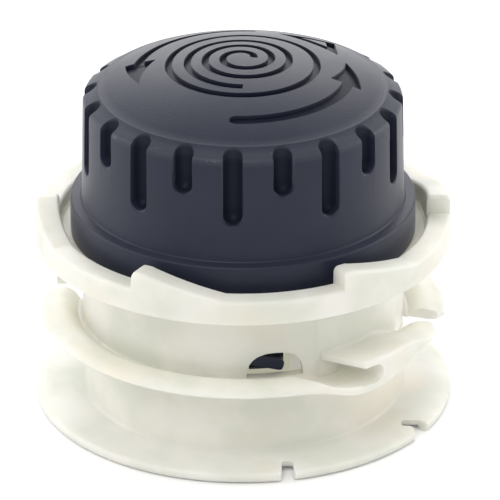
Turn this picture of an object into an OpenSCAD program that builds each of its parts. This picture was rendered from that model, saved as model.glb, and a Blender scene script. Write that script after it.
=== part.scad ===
// Line spool of a grass trimmer head with its winding cap, standing on its housing-side flange.
// The spool is one light moulding: a hollow drum, three flanges, a saw-toothed rim and a centre tube.
// The cap is one dark moulding: a fluted knob on a lip, held by two snap legs inside the drum.
// Angles called phi start at the front, which is -Y, and grow towards +X.

/* [Drum] */
// Outside diameter of the drum that the line is wound on
hub_d = 66; // [60:0.5:70]
// Wall thickness of the drum
hub_wall = 2.4; // [1.6:0.1:3.2]
// Thickness of the plate that closes the drum under the cap
plate_t = 2; // [1.4:0.1:3]
// Fillet between the drum and its flanges
root_fillet = 0.8; // [0.4:0.1:1.5]

/* [Housing-side flange] */
// Outside diameter of the housing-side flange, the widest one
flange_d = 86; // [82:0.5:92]
// Thickness of the flange at its rim
flange_t = 2; // [1.6:0.1:3]
// Thickness of the flange's web, which is relieved from below
flange_web_t = 1.1; // [0.9:0.1:1.5]
// Width of the standing bead under the rim
bead_w = 2; // [1:0.1:2.6]
// Width of the line notches in the flange
notch_w = 2.4; // [1.6:0.1:3.2]
// Distance from the axis to the closed end of each line notch
notch_root_r = 37.8; // [36:0.1:40]

/* [Middle flange] */
// Clear height of the lower line chamber, over the flange
lower_gap = 16.2; // [12:0.1:20]
// Outside diameter of the middle flange
mid_d = 83; // [80:0.5:86]
// Thickness of the middle flange at its thin edge
mid_edge_t = 0.7; // [0.5:0.1:1.2]
// Thickness of the middle flange where its bevel begins
mid_body_t = 2.5; // [1.6:0.1:3.2]
// Extra thickness that the middle flange gains towards the drum
mid_draft = 0.6; // [0.2:0.1:1.2]
// Width of the bevel round the middle flange
mid_bevel_w = 3.1; // [2:0.1:4]

/* [Toothed rim] */
// Clear height of the upper line chamber, between the flange edges
upper_gap = 16.1; // [12:0.1:20]
// Outside diameter of the toothed rim
rim_d = 84.8; // [80:0.2:88]
// Radial width of the toothed rim
rim_w = 4.9; // [4:0.1:6]
// Height of the rim between its teeth
rim_h = 5.1; // [4:0.1:7]
// Number of ratchet teeth
tooth_count = 6; // [4:1:8]
// Height of a ratchet tooth over the rim
tooth_h = 3.8; // [2:0.1:5]
// Flat crest of a ratchet tooth, in degrees round the rim
tooth_crest = 3.5; // [2:0.5:6]
// Crest and ramp of a ratchet tooth together, in degrees round the rim
tooth_span = 26.5; // [20:0.5:32]
// Position of the first tooth's upright face, in degrees
tooth_phi = 28.5; // [20:0.5:40]
// Rounding of the rim's upper edges
rim_round = 0.9; // [0.4:0.1:1.5]

/* [Line channel] */
// Direction that the two line channels run in, in degrees
channel_phi = 65; // [60:0.5:70]
// How far the middle flange dips under a channel
channel_dip = 2.9; // [2:0.1:3.2]
// Offset of the deepest line of the dip from the axis
dip_offset = 19.8; // [18:0.1:21]
// Thickness of the leaf under a channel
leaf_t = 1.5; // [1:0.1:2]
// Width of the open trough beside the covered channel
trough_w = 7.2; // [5:0.1:9]
// Depth of the covered channel behind the free edge of its roof
pocket_w = 4.6; // [3:0.1:6]
// Thickness of the roof over a channel, at its free edge
roof_t = 1.2; // [0.8:0.1:1.6]
// Height of the roof's underside over the underside of the flange
roof_lift = 2.8; // [2.6:0.1:3.2]

/* [Line slots and windows] */
// Width of each wedge slot at the drum
slot_wide = 7.6; // [6:0.1:9]
// Width of each wedge slot at its neck
slot_neck = 4; // [3:0.1:5]
// Offset of the wedge slots' centre line from the axis
slot_offset = 8; // [6:0.1:10]
// Corner radius at the mouth of each wedge slot
slot_mouth_r = 1.6; // [0.8:0.1:2.5]
// Position of the first window in the drum, in degrees
window_phi = 11.3; // [10:0.1:14]
// Width of each window in the drum
window_w = 11.6; // [9:0.1:13]
// Height of each window in the drum
window_h = 5.5; // [4.5:0.1:8]
// Height of each window's sill over the underside of the middle flange
window_sill = 0.3; // [0.1:0.1:1]

/* [Centre tube] */
// Bore of the centre tube, for the head's drive boss
bore_d = 16; // [12:0.1:20]
// Wall thickness of the centre tube
tube_wall = 2.2; // [1.6:0.1:3.2]
// Distance of the tube's free end from the resting face
tube_setback = 5; // [3:0.5:10]
// Number of ribs between the tube and the drum
rib_count = 6; // [6:6:6]
// Thickness of the ribs
rib_t = 1.6; // [1:0.1:2.4]
// Height of the ribs under the plate
rib_h = 13; // [8:0.5:13.5]
// Number of drive lugs inside the drum's open end
lug_count = 6; // [4:1:8]
// Radial depth of the drive lugs
lug_d = 2.6; // [1.5:0.1:4]
// Height of the drive lugs
lug_h = 5; // [3:0.5:8]

/* [Cap] */
// Diameter of the cap's lip
lip_d = 70.5; // [68:0.1:72]
// Height of the cap's lip over the plate
lip_h = 7.2; // [5:0.1:9]
// Diameter of the knob just over the lip
knob_d = 65.7; // [63:0.1:67]
// Draft of the knob's wall, on the radius, up to its shoulder
knob_draft = 0.45; // [0:0.05:1]
// Height of the knob's wall, from the lip's top to the shoulder corner
knob_h = 21.9; // [18:0.1:25]
// Width of the bevel between the wall and the dome
shoulder_w = 3.4; // [2:0.1:5]
// Height of that bevel
shoulder_h = 1.7; // [1:0.1:3]
// Rise of the dome over the bevel
dome_rise = 6.5; // [4:0.1:9]
// Wall thickness of the cap
cap_wall = 2.2; // [1.6:0.1:3]

/* [Grip flutes] */
// Number of grip flutes, alternately long and short
flute_count = 20; // [12:2:24]
// Width of a flute
flute_w = 4.1; // [3:0.1:5]
// Depth of a flute
flute_depth = 3; // [2.2:0.1:3.6]
// Height of a long flute's end over the lip's top
flute_long = 7.8; // [5:0.1:10]
// Height of a short flute's end over the lip's top
flute_short = 13.8; // [11:0.1:16]
// Position of the first long flute, in degrees
flute_phi = -3.65; // [-9:0.05:9]

/* [Marks on the dome] */
// Depth of the sunk marks
mark_depth = 0.9; // [0.4:0.1:1.3]
// Radius of the winding arrows' centre line
arrow_r = 22; // [20:0.1:23]
// Width of an arrow's shaft
arrow_w = 2.2; // [1.4:0.1:3]
// Width across an arrow's head
arrow_head_w = 6.4; // [4:0.1:8]
// Radius of the ring round the middle mark
ring_mark_r = 15; // [12:0.1:17]
// Width of the lines of the middle mark
line_mark_w = 1.5; // [1:0.1:2]

/* [Snap legs] */
// Width of a snap leg
leg_w = 7; // [5:0.1:9]
// Thickness of a snap leg
leg_t = 2.2; // [1.6:0.1:3]
// Clearance between the legs and the drum
leg_gap = 0.5; // [0.3:0.05:0.8]
// Length of the nose that shows in a window, measured along the drum
nose_l = 6.6; // [4:0.1:7]
// Height of the nose
nose_h = 2.3; // [1.5:0.1:3]
// Slope of the nose, in degrees
nose_slope = 15; // [0:1:20]

/* [Hidden] */
$fn = 96;
eps = 0.01;
over = 1;
spool_colour = [0.90, 0.90, 0.84];
cap_colour = [0.20, 0.22, 0.28];

hub_r = hub_d / 2;
bore_of_drum_r = hub_r - hub_wall;
flange_r = flange_d / 2;
mid_r = mid_d / 2;
rim_r = rim_d / 2;
rim_in_r = rim_r - rim_w;
mid_z = flange_t + lower_gap;
rim_z = mid_z + mid_edge_t + upper_gap;
plate_z = rim_z + plate_t;
rim_top_z = rim_z + rim_h;
crest_z = rim_top_z + tooth_h;
tooth_inset = 0.04;
mid_top_z = mid_z + mid_body_t + mid_draft;
bore_r = bore_d / 2;
tube_r = bore_r + tube_wall;

lip_r = lip_d / 2;
lip_z = plate_z + lip_h;
knob_r = knob_d / 2;
knob_top_r = knob_r - knob_draft;
shoulder_z = lip_z + knob_h;
dome_edge_r = knob_top_r - shoulder_w;
dome_edge_z = shoulder_z + shoulder_h;
apex_z = dome_edge_z + dome_rise;
dome_ball_r = (dome_edge_r * dome_edge_r + dome_rise * dome_rise) / (2 * dome_rise);
flute_r = flute_w / 2;
flute_centre_r = knob_top_r - flute_depth + flute_r;

// The channel's section is drawn across its direction, with x as the offset from the axis.
dip_in = 11.5;
dip_out = 17.5;
trough_x = -dip_offset - trough_w;
roof_x = -dip_offset;
pocket_x = roof_x + pocket_w;
roof_z = mid_z + roof_lift;
roof_top_z = roof_z + roof_t;
section_steps = 12;

leg_r = bore_of_drum_r - leg_gap;
window_z = mid_z + window_sill;
nose_mid_z = mid_z + 3.3;
nose_phi = window_phi - 2.4;
leg_end_z = mid_z + 0.7;

// Points of an arc about c, from angle a0 to angle a1
function arc(c, r, a0, a1, n = 6) =
    [for (i = [0:n]) [c[0] + r * cos(a0 + (a1 - a0) * i / n), c[1] + r * sin(a0 + (a1 - a0) * i / n)]];

// Height of the dip's underside at offset x: a squared cosine, steeper on its open side
function dip_z(x) =
    let (t = (x + dip_offset) / (x < -dip_offset ? dip_in : dip_out))
    abs(t) >= 1 ? mid_z : mid_z - channel_dip * pow(cos(90 * t), 2);

// Height of the channel's floor at offset x
function floor_z(x) = dip_z(x) + leaf_t;

// A point on the drum's scale of angles
function polar(r, phi) = [r * sin(phi), -r * cos(phi)];

// Turns what is drawn at the front to the angle phi
module at_phi(phi) {
    rotate([0, 0, phi]) children();
}

// Draws its child twice, opposite each other
module both_sides() {
    for (turn = [0, 180]) rotate([0, 0, turn]) children();
}

// A flat outline in offset and height, carried outwards from the axis towards the front
module along_front(length) {
    rotate([90, 0, 0]) linear_extrude(length) children();
}

// A ring between two radii and two heights
module ring(r_in, r_out, z0, z1) {
    translate([0, 0, z0]) difference() {
        cylinder(r = r_out, h = z1 - z0);
        translate([0, 0, -over]) cylinder(r = r_in, h = z1 - z0 + 2 * over);
    }
}

// Drum wall, housing-side flange and cap-side plate, in one section
module drum_body() {
    e = 0.8;
    f = root_fillet;
    relief = flange_t - flange_web_t;
    rotate_extrude() polygon(concat(
        [[bore_of_drum_r, 0], [hub_r, 0], [hub_r + relief, relief]],
        [[flange_r - bead_w - relief / 2, relief], [flange_r - bead_w, 0], [flange_r - 0.3, 0], [flange_r, 0.3]],
        arc([flange_r - e, flange_t - e], e, 0, 90, 5),
        arc([hub_r + f, flange_t + 0.1 + f], f, 270, 180, 4),
        arc([hub_r + f, rim_z - f], f, 180, 90, 4),
        [[rim_in_r + over, rim_z], [rim_in_r + over, plate_z], [bore_r, plate_z], [bore_r, rim_z]],
        [[bore_of_drum_r, rim_z]]
    ));
}

// Plain disc of the middle flange: flat below, bevelled above
module mid_disc() {
    f = root_fillet;
    rotate_extrude() polygon(concat(
        [[hub_r - 0.5 * hub_wall, mid_z], [mid_r - 0.3, mid_z], [mid_r, mid_z + 0.3], [mid_r, mid_z + mid_edge_t]],
        arc([mid_r - mid_bevel_w, mid_z - 1.8], 4.3, 38, 88, 4),
        arc([hub_r + f, mid_top_z + f], f, 270, 180, 4),
        [[hub_r - 0.5 * hub_wall, mid_top_z + f]]
    ));
}

// Section of the dipped and raised part of the middle flange
module leaf_section() {
    left = -dip_offset - dip_in + over;
    right = dip_out - dip_offset;
    polygon(concat(
        [for (i = [0:section_steps]) let (x = left + (right - left) * i / section_steps) [x, dip_z(x)]],
        [[right + 3, mid_z + mid_edge_t], [pocket_x + 2, roof_top_z], [roof_x - 0.6, roof_top_z]],
        [[trough_x, mid_z + 0.8], [left, mid_z + 0.4]]
    ));
}

// Section of the open trough and of the covered channel beside it
module channel_section() {
    pocket_r = (roof_z - floor_z(roof_x)) / 2;
    mid = (roof_z + floor_z(roof_x)) / 2;
    n = section_steps / 2;
    polygon(concat(
        [[trough_x, crest_z]],
        [for (i = [0:n]) let (x = trough_x + (roof_x - trough_x) * i / n) [x, floor_z(x)]],
        arc([pocket_x - pocket_r, mid], pocket_r, -90, 90, 8),
        [[roof_x, roof_z], [roof_x - 0.3, roof_z + roof_t / 2], [roof_x, roof_top_z], [roof_x, crest_z]]
    ));
}

// Middle flange with its two line channels
module mid_flange() {
    difference() {
        union() {
            mid_disc();
            intersection() {
                ring(hub_r - 0.5 * hub_wall, mid_r, mid_z - channel_dip - over, roof_top_z + over);
                both_sides() at_phi(channel_phi) along_front(flange_r) leaf_section();
            }
        }
        both_sides() at_phi(channel_phi) along_front(flange_r) channel_section();
    }
}

// Ring with rounded upper edges, for the rim and for the teeth that stand on it
module rounded_ring(r_in, r_out, bottom, top) {
    e = rim_round;
    rotate_extrude() polygon(concat(
        [[r_in, bottom], [r_out - 0.3, bottom], [r_out, bottom + 0.3]],
        arc([r_out - e, top - e], e, 0, 90, 5),
        arc([r_in + e, top - e], e, 90, 180, 5)
    ));
}

// Upright wedge of space between two angles
module sector(phi0, phi1, z0, z1) {
    far = 2 * flange_r;
    translate([0, 0, z0]) linear_extrude(z1 - z0) polygon([[0, 0], polar(far, phi0), polar(far, phi1)]);
}

// One ratchet tooth: upright face at phi 0, flat crest, and a ramp down to the rim
module ratchet_tooth() {
    mid_phi = (tooth_crest + tooth_span) / 2;
    mean_r = rim_r - rim_w / 2;
    x0 = -mean_r * sin(mid_phi) - 2 * over;
    x1 = mean_r * sin(tooth_crest - mid_phi);
    x2 = mean_r * sin(tooth_span - mid_phi);
    slope = tooth_h / (x2 - x1);
    sunk = 0.45 * tooth_h;
    intersection() {
        rounded_ring(rim_in_r + tooth_inset, rim_r - tooth_inset, rim_top_z - sunk - over, crest_z);
        sector(0, tooth_span + 5, rim_top_z - 2 * sunk, crest_z + over);
        at_phi(mid_phi) along_front(flange_r) polygon([
            [x0, rim_top_z - sunk],
            [x0, crest_z + over],
            [x1 - 0.6, crest_z + over],
            [x1 - 0.6, crest_z],
            [x1 + 0.4, crest_z - 0.2],
            [x2, rim_top_z],
            [x2 + sunk / slope, rim_top_z - sunk]
        ]);
    }
}

// Rim with all its teeth
module toothed_rim() {
    rounded_ring(rim_in_r, rim_r, rim_z, rim_top_z);
    for (i = [0:tooth_count - 1]) at_phi(tooth_phi + i * 360 / tooth_count) ratchet_tooth();
}

// Centre tube, its ribs and the drive lugs inside the open end
module drum_inside() {
    lug_phi = 30;
    ring(bore_r, tube_r, tube_setback, rim_z + eps);
    for (i = [0:rib_count - 1]) at_phi(30 + i * 360 / rib_count)
        translate([-rib_t / 2, -hub_r + hub_wall / 2, rim_z - rib_h])
            cube([rib_t, hub_r - hub_wall / 2 - tube_r + tube_wall / 2, rib_h + eps]);
    intersection() {
        ring(bore_of_drum_r - lug_d, hub_r - hub_wall / 2, 0, lug_h);
        for (i = [0:lug_count - 1]) at_phi(lug_phi + i * 360 / lug_count) along_front(hub_r)
            polygon([[-3, 0], [3, 0], [3, lug_h - 2], [-3, lug_h]]);
    }
}

// Round-ended notch through the flange: its closed end at the origin, its mouth towards -Y
module line_notch(mouth_y) {
    r = 0.8;
    w = notch_w / 2;
    translate([0, 0, -over]) linear_extrude(flange_t + 2 * over) polygon(concat(
        arc([-w + r, -r], r, 180, 90, 4),
        arc([w - r, -r], r, 90, 0, 4),
        [[w, mouth_y + 1.4], [w + 0.5, mouth_y + 0.4], [w + 1.6, mouth_y - over]],
        [[-w - 1.2, mouth_y - over], [-w - 0.2, mouth_y + 0.4], [-w, mouth_y + 1.2]]
    ));
}

// Wedge slot in the middle flange, open at the edge, towards +X
module wedge_slot() {
    neck_x = mid_r - 3.4;
    mouth_x = sqrt(mid_r * mid_r - slot_offset * slot_offset);
    a = slot_wide / 2;
    b = slot_neck / 2;
    m = slot_mouth_r;
    translate([0, -slot_offset, mid_z - over]) linear_extrude(mid_body_t + 2 * over + 1) polygon(concat(
        [[hub_r - 2, a], [hub_r - 2, -a]],
        [[neck_x, -b]],
        [[mouth_x - m, -b - 0.3], [mouth_x - 0.3 * m, -b - m], [mouth_x + 1.5, -b - 3 * m]],
        [[mouth_x + 1.5, b + 2 * m], [mouth_x + 0.2 * m, b + m], [mouth_x - 0.6 * m, b + 0.2]],
        [[neck_x, b]]
    ));
}

// Arched opening through the drum's wall, at the front
module window_cut(r0, r1) {
    half = window_w / 2;
    translate([0, -r0, window_z]) along_front(r1 - r0) polygon([
        for (t = [0:15:180])
            [half * (cos(t) < 0 ? -1 : 1) * pow(abs(cos(t)), 0.8), window_h * pow(sin(t), 0.8)]
    ]);
}

// The windows, kept clear of the flange that stands before their sills
module windows() {
    both_sides() at_phi(window_phi) {
        intersection() {
            window_cut(hub_r - 2 * hub_wall, hub_r + over);
            cylinder(r = hub_r + eps, h = rim_z);
        }
        intersection() {
            window_cut(hub_r - 2 * hub_wall, hub_r + 2 * over);
            translate([-hub_r, -flange_r, mid_top_z]) cube([2 * hub_r, flange_r, upper_gap]);
        }
    }
}

// Openings in the plate that the snap legs pass through
module leg_slots() {
    both_sides() at_phi(nose_phi)
        translate([-leg_w / 2 - leg_gap, -bore_of_drum_r, rim_z - over])
            cube([leg_w + 2 * leg_gap, leg_t + 2 * leg_gap, plate_t + 2 * over]);
}

module spool() color(spool_colour) {
    notch_1 = [8.9, -sqrt(notch_root_r * notch_root_r - 8.9 * 8.9)];
    notch_2 = [sqrt(notch_root_r * notch_root_r - 20.6 * 20.6), -20.6];
    difference() {
        union() {
            drum_body();
            mid_flange();
            toothed_rim();
            drum_inside();
        }
        both_sides() {
            translate(notch_1) line_notch(-flange_r * cos(asin(8.9 / flange_r)) - notch_1[1]);
            translate(notch_2) rotate([0, 0, 90]) line_notch(notch_2[0] - sqrt(flange_r * flange_r - 20.6 * 20.6));
            wedge_slot();
        }
        windows();
        leg_slots();
    }
}

// Outside of the cap before its flutes and marks are cut
module cap_outside() {
    f = 1.2;
    intersection() {
        translate([0, 0, apex_z - dome_ball_r]) sphere(r = dome_ball_r, $fn = 180);
        rotate_extrude() polygon(concat(
            [[0, plate_z], [lip_r - 0.2, plate_z], [lip_r, plate_z + 0.2]],
            arc([lip_r - 0.5, lip_z - 0.5], 0.5, 0, 90, 4),
            [[knob_r + 0.3, lip_z - 0.25], [knob_r, lip_z]],
            arc([knob_top_r - f, shoulder_z - 0.78 * f], f, 0, 63, 4),
            [[dome_edge_r, dome_edge_z], [dome_edge_r, apex_z + over], [0, apex_z + over]]
        ));
    }
}

// Hollow of the cap, which leaves a rib behind every flute
module cap_hollow() {
    top_z = shoulder_z - cap_wall;
    in_r = knob_top_r - cap_wall;
    difference() {
        intersection() {
            translate([0, 0, apex_z - dome_ball_r]) sphere(r = dome_ball_r - cap_wall, $fn = 180);
            rotate_extrude() polygon([
                [0, plate_z - over],
                [in_r, plate_z - over],
                [in_r, top_z],
                [dome_edge_r - 1, dome_edge_z - cap_wall - 0.3],
                [dome_edge_r - 1, apex_z],
                [0, apex_z]
            ]);
        }
        each_flute() translate([0, -flute_centre_r, $flute_z - cap_wall])
            cylinder(r = flute_r + 0.8 * cap_wall, h = apex_z);
    }
}

// Places its children at every flute, with $flute_z as the height of that flute's end
module each_flute() {
    for (i = [0:flute_count - 1]) {
        $flute_z = lip_z + (i % 2 == 0 ? flute_long : flute_short);
        at_phi(flute_phi + i * 360 / flute_count) children();
    }
}

// One flute: an upright round-bottomed groove with a ball end
module flute_cut() {
    out = knob_r - flute_centre_r + over;
    translate([0, -flute_centre_r, $flute_z + flute_r]) {
        linear_extrude(apex_z - $flute_z) union() {
            circle(r = flute_r);
            translate([-flute_r, -out]) square([flute_w, out]);
        }
        sphere(r = flute_r);
        rotate([90, 0, 0]) cylinder(r = flute_r, h = out);
    }
}

// One winding arrow: a curved shaft with a round tail and a three-cornered head
module arrow_outline() {
    tail = -3.5;
    neck = 76;
    tip = 101;
    half = arrow_w / 2;
    barb = arrow_head_w / 2;
    polygon(concat(
        [for (phi = [tail:4.97:neck]) polar(arrow_r + half, phi)],
        [polar(arrow_r + barb, neck - 1), polar(arrow_r - 0.5, tip), polar(arrow_r - barb, neck - 1)],
        [for (phi = [neck:-4.97:tail]) polar(arrow_r - half, phi)],
        [polar(arrow_r - 0.7 * half, tail - 2), polar(arrow_r, tail - 2.9), polar(arrow_r + 0.7 * half, tail - 2)]
    ));
}

// Three-cornered alignment mark: a groove round a raised island
module triangle_groove(z) {
    difference() {
        translate([0, 0, z]) linear_extrude(apex_z) polygon([[-7.6, -20.4], [0, -28], [7.6, -20.4]]);
        translate([0, 0, z - over]) linear_extrude(apex_z + 2 * over)
            polygon([[-3.5, -21.9], [0, -25.4], [3.5, -21.9]]);
    }
}

// Plain middle mark: a coil, drawn as a flat spiral of even pitch
module coil_outline() {
    w = line_mark_w / 2;
    pitch = 2.4 * line_mark_w;
    turns = 2.75;
    start_r = 2.2;
    polygon(concat(
        [for (t = [0:15:360 * turns]) (start_r + pitch * t / 360 + w) * [cos(t), sin(t)]],
        [for (t = [360 * turns:-15:0]) (start_r + pitch * t / 360 - w) * [cos(t), sin(t)]]
    ));
}

// All the marks, sunk to an even depth below the dome
module dome_marks() {
    z = dome_edge_z - 2 * mark_depth;
    difference() {
        union() {
            both_sides() translate([0, 0, z]) linear_extrude(apex_z) arrow_outline();
            at_phi(138) triangle_groove(z);
            translate([0, 0, z]) linear_extrude(apex_z) coil_outline();
            ring(ring_mark_r - line_mark_w / 2, ring_mark_r + line_mark_w / 2, z, apex_z + over);
        }
        translate([0, 0, apex_z - dome_ball_r]) sphere(r = dome_ball_r - mark_depth, $fn = 180);
    }
}

// One snap leg at the front, with the sloping nose that shows in the window
module snap_leg() {
    root_z = plate_z + lip_h;
    nose_out = hub_r - 0.5;
    intersection() {
        ring(leg_r - leg_t, leg_r + cap_wall / 2, plate_z + 0.5, root_z);
        translate([-leg_w / 2, -hub_r, plate_z]) cube([leg_w, hub_r, lip_h]);
    }
    intersection() {
        ring(leg_r - leg_t, leg_r, leg_end_z, root_z);
        translate([-leg_w / 2, -hub_r, leg_end_z]) cube([leg_w, hub_r, root_z - leg_end_z]);
    }
    intersection() {
        ring(leg_r - leg_t / 2, nose_out, leg_end_z, rim_z);
        translate([0, 0, nose_mid_z]) along_front(hub_r) rotate(-nose_slope) polygon(concat(
            [[-nose_l / 2, -nose_h / 2], [nose_l / 2 - 0.8, -nose_h / 2]],
            arc([nose_l / 2 - 0.8, -nose_h / 2 + 0.8], 0.8, -60, 60, 4),
            [[nose_l / 2 - 0.5, nose_h / 2], [-nose_l / 2 + 1, nose_h / 2]]
        ));
    }
}

// Core taken out of the lip from below, to keep its wall even
module lip_core() {
    ring(knob_r - cap_wall + 1.6, lip_r - 1.8, plate_z - over, lip_z - cap_wall);
}

module cap() color(cap_colour) {
    difference() {
        cap_outside();
        cap_hollow();
        each_flute() flute_cut();
        dome_marks();
        lip_core();
    }
    both_sides() at_phi(nose_phi) snap_leg();
}

spool();
cap();
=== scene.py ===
"""Looks of a grass trimmer's line spool and its winding cap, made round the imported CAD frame.

Lengths in the classes are in millimetres. Heights are called z and start at the resting face.
An angle called phi starts at the front, which is -Y, and grows towards +X, so a point of radius r
lies at (r sin phi, -r cos phi, z). Meshes are made in metres by a factor of MM.
"""

import logging
import math
from dataclasses import dataclass, field
from enum import Enum

import bpy
import numpy as np
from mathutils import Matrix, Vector


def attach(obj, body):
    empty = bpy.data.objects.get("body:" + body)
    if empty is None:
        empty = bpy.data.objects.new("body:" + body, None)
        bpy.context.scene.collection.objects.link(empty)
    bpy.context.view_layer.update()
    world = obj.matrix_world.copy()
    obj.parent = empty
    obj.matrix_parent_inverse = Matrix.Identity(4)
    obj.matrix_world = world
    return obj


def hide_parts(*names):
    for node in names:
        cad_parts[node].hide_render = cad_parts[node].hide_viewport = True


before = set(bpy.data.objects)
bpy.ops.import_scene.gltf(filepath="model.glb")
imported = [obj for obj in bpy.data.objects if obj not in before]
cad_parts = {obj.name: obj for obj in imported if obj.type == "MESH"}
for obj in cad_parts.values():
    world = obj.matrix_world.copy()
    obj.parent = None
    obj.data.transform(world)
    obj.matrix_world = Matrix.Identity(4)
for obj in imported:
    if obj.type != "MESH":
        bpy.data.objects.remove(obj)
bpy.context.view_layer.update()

MM = 0.001
LOG = logging.getLogger("line_spool")
Array = np.ndarray
Color = tuple[float, float, float]


class Cut(Enum):
    """How a tool shell changes the shell that it meets."""

    MERGE = "UNION"
    CARVE = "DIFFERENCE"


# ------------------------------------------------------------------ plane curves


def arc(cx: float, cy: float, r: float, start: float, end: float, steps: int = 6) -> Array:
    """Points of a circle's arc: centre plus r times (cos a, sin a), with a in even steps.

    Args:
        cx: first coordinate of the centre.
        cy: second coordinate of the centre.
        r: radius.
        start: first angle, in degrees.
        end: last angle, in degrees.
        steps: number of chords.

    Returns:
        An array of steps + 1 rows of two numbers.
    """
    a = np.radians(np.linspace(start, end, steps + 1))
    return np.column_stack([cx + r * np.cos(a), cy + r * np.sin(a)])


def stack(*parts: Array | list) -> Array:
    """Joins runs of points into one array."""
    return np.vstack([np.atleast_2d(np.asarray(p, float)) for p in parts])


def smooth(x: Array, low: float, high: float) -> Array:
    """A step from 0 at low to 1 at high along the cubic 3t^2 - 2t^3."""
    t = np.clip((np.asarray(x, float) - low) / (high - low), 0.0, 1.0)
    return t * t * (3 - 2 * t)


def round_corners(points: Array, radii: Array, steps: int = 4) -> Array:
    """Replaces each corner of a closed outline by a quadratic curve that starts and ends a radius away.

    The curve is (1-t)^2 A + 2t(1-t) P + t^2 B, where P is the corner and A and B lie on its two sides.

    Args:
        points: the corners, in order.
        radii: how far from each corner its curve starts; 0 keeps the corner.
        steps: chords in each curve.

    Returns:
        The rounded outline, one row a point.
    """
    p = np.asarray(points, float)
    r = np.asarray(radii, float)[:, None]
    before, after = np.roll(p, 1, 0) - p, np.roll(p, -1, 0) - p
    a = p + before / np.linalg.norm(before, axis=1, keepdims=True) * r
    b = p + after / np.linalg.norm(after, axis=1, keepdims=True) * r
    t = np.linspace(0, 1, steps + 1)[None, :, None]
    curve = (1 - t) ** 2 * a[:, None] + 2 * t * (1 - t) * p[:, None] + t**2 * b[:, None]
    flat = curve.reshape(-1, 2)
    keep = np.linalg.norm(flat - np.roll(flat, 1, 0), axis=1) > 1e-6
    return flat[keep]


# ------------------------------------------------------------------ surfaces


def around(r: Array, phi: Array, z: Array) -> Array:
    """Points at radius r, angle phi in degrees and height z: (r sin phi, -r cos phi, z)."""
    a = np.radians(phi)
    r, a, z = np.broadcast_arrays(r, a, z)
    return np.stack([r * np.sin(a), -r * np.cos(a), z], axis=-1)


def turned(points: Array, phi: float) -> Array:
    """Points moved from the front to the angle phi by a turn about Z."""
    c, s = math.cos(math.radians(phi)), math.sin(math.radians(phi))
    x, y, z = np.moveaxis(points, -1, 0)
    return np.stack([c * x - s * y, s * x + c * y, z], axis=-1)


@dataclass(frozen=True)
class Shell:
    """A closed surface on a grid of points, as vertices and faces."""

    verts: Array
    quads: Array
    caps: tuple[tuple[int, ...], ...] = ()

    @staticmethod
    def of(grid: Array, wrap_u: bool = True, wrap_v: bool = True, folded: bool = False) -> "Shell":
        """Makes the shell of a grid whose point (i, j) joins its neighbours in both directions.

        Args:
            grid: points of shape (columns, rows, 3).
            wrap_u: whether the last column joins the first.
            wrap_v: whether the last row joins the first. Ends that stay open are closed by one face,
                or by nothing where all their points coincide.
            folded: whether the first and last rows are folded onto themselves, so they need no face.

        Returns:
            The closed shell.
        """
        nu, nv = grid.shape[:2]
        ids = np.arange(nu * nv).reshape(nu, nv)
        u = ids if wrap_u else ids[:-1]
        un = np.roll(ids, -1, 0) if wrap_u else ids[1:]
        a, b = (u, un) if wrap_v else (u[:, :-1], un[:, :-1])
        c, d = (np.roll(un, -1, 1), np.roll(u, -1, 1)) if wrap_v else (un[:, 1:], u[:, 1:])
        quads = np.stack([a, b, c, d], -1).reshape(-1, 4)
        caps = []
        if not wrap_u:
            caps += [tuple(ids[0].tolist()), tuple(ids[-1][::-1].tolist())]
        if not wrap_v and not folded:
            ends = [(0, -1), (nv - 1, 1)]
            spread = [np.ptp(grid[:, j], axis=0).max() for j, _ in ends]
            caps += [tuple(ids[:, j][::step].tolist()) for (j, step), wide in zip(ends, spread) if wide > 1e-9]
        return Shell(grid.reshape(-1, 3), quads, tuple(caps))

    def merged_with(self, others: list["Shell"]) -> "Shell":
        """One shell that holds this one and others that it doesn't touch."""
        verts, quads, caps, base = [self.verts], [self.quads], list(self.caps), len(self.verts)
        for other in others:
            verts.append(other.verts)
            quads.append(other.quads + base)
            caps += [tuple(i + base for i in cap) for cap in other.caps]
            base += len(other.verts)
        return Shell(np.vstack(verts), np.vstack(quads), tuple(caps))

    def turned(self, phi: float) -> "Shell":
        """The same shell, turned about Z."""
        return Shell(turned(self.verts, phi), self.quads, self.caps)

    def object(self, name: str) -> bpy.types.Object:
        """A linked mesh object of the shell, in metres, with its doubles merged and its faces outwards."""
        mesh = bpy.data.meshes.new(name)
        mesh.from_pydata((self.verts * MM).tolist(), [], self.quads.tolist() + [list(c) for c in self.caps])
        mesh.validate()
        piece = bpy.data.objects.new(name, mesh)
        bpy.context.scene.collection.objects.link(piece)
        weld = piece.modifiers.new("weld", "WELD")
        weld.merge_threshold = 1e-7
        bake_modifiers(piece)
        if signed_volume(piece.data) < 0:
            piece.data.flip_normals()
        return piece


def pair(shell: Shell) -> Shell:
    """The shell and its copy on the opposite side."""
    return shell.merged_with([shell.turned(180)])


def bake_modifiers(piece: bpy.types.Object) -> None:
    """Replaces the piece's mesh by what its modifiers make of it."""
    graph = bpy.context.evaluated_depsgraph_get()
    graph.update()
    mesh = bpy.data.meshes.new_from_object(piece.evaluated_get(graph))
    piece.modifiers.clear()
    piece.data = mesh


def signed_volume(mesh: bpy.types.Mesh) -> float:
    """Volume inside the mesh: a sixth of the sum of a . (b x c) over its triangles, below 0 if inside out."""
    co = np.empty(len(mesh.vertices) * 3)
    mesh.vertices.foreach_get("co", co)
    mesh.calc_loop_triangles()
    tri = np.empty(len(mesh.loop_triangles) * 3, np.int32)
    mesh.loop_triangles.foreach_get("vertices", tri)
    a, b, c = np.moveaxis(co.reshape(-1, 3)[tri.reshape(-1, 3)], 1, 0)
    return float(np.einsum("ij,ij->i", a, np.cross(b, c)).sum() / 6)


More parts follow.
